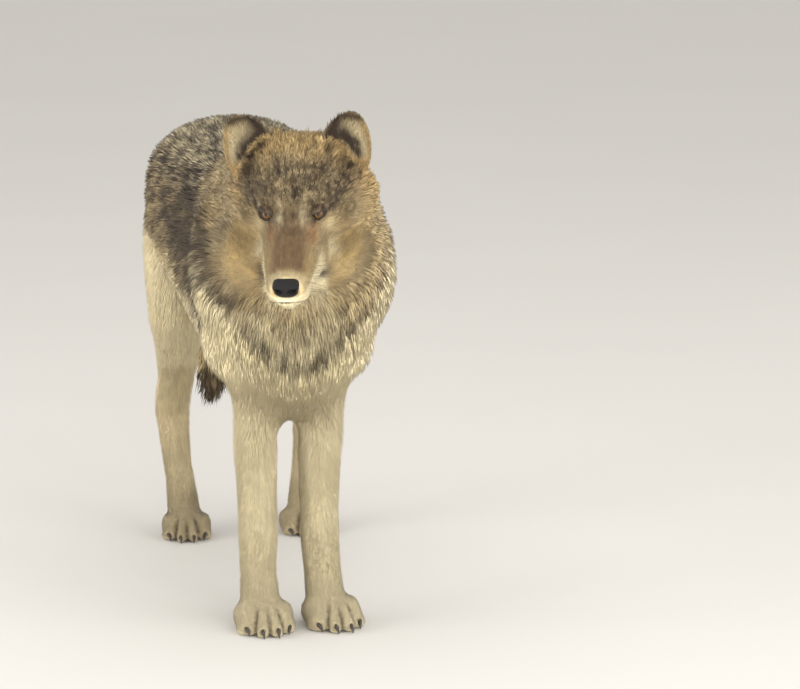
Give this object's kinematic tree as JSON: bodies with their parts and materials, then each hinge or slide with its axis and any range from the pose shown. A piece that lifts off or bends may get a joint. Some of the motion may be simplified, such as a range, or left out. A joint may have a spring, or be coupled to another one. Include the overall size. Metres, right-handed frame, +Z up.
{
  "type": "grey wolf",
  "caption": "Still, life-size model of a grey wolf in winter coat, standing on its paws with its head carried low, turned a little aside and looking ahead.",
  "frame": {"origin": "on the floor the paws stand on, under the middle of the whole model's box", "axes": "+Z up; the wolf faces -Y, so its own left side is at +X and its tail at +Y"},
  "size_m": [0.3658, 1.182, 0.8925],
  "materials": {
    "coat": "matt, grizzled grey and tan hair",
    "dark_coat": "matt, dark-tipped grizzled hair",
    "pale_coat": "matt, short cream hair",
    "nose_skin": "moist, pebbled black skin",
    "eye_amber": "wet gloss",
    "claw_horn": "worn horn"
  },
  "bodies": {
    "root": {"head": "coat", "lower_jaw": "pale_coat", "nose": "nose_skin", "neck": "coat", "trunk": "dark_coat", "tail": "dark_coat", "ear_left": "coat", "ear_right": "coat", "eye_left": "eye_amber", "eye_right": "eye_amber", "upper_arm_left": "pale_coat", "upper_arm_right": "pale_coat", "forearm_left": "pale_coat", "forearm_right": "pale_coat", "forepaw_left": "pale_coat", "forepaw_right": "pale_coat", "thigh_left": "pale_coat", "thigh_right": "pale_coat", "shank_left": "pale_coat", "shank_right": "pale_coat", "hind_pastern_left": "pale_coat", "hind_pastern_right": "pale_coat", "hindpaw_left": "pale_coat", "hindpaw_right": "pale_coat", "claw_fore_left_1": "claw_horn", "claw_fore_left_2": "claw_horn", "claw_fore_left_3": "claw_horn", "claw_fore_left_4": "claw_horn", "claw_fore_right_1": "claw_horn", "claw_fore_right_2": "claw_horn", "claw_fore_right_3": "claw_horn", "claw_fore_right_4": "claw_horn", "claw_hind_left_1": "claw_horn", "claw_hind_left_2": "claw_horn", "claw_hind_left_3": "claw_horn", "claw_hind_left_4": "claw_horn", "claw_hind_right_1": "claw_horn", "claw_hind_right_2": "claw_horn", "claw_hind_right_3": "claw_horn", "claw_hind_right_4": "claw_horn"}
  },
  "joints": []
}
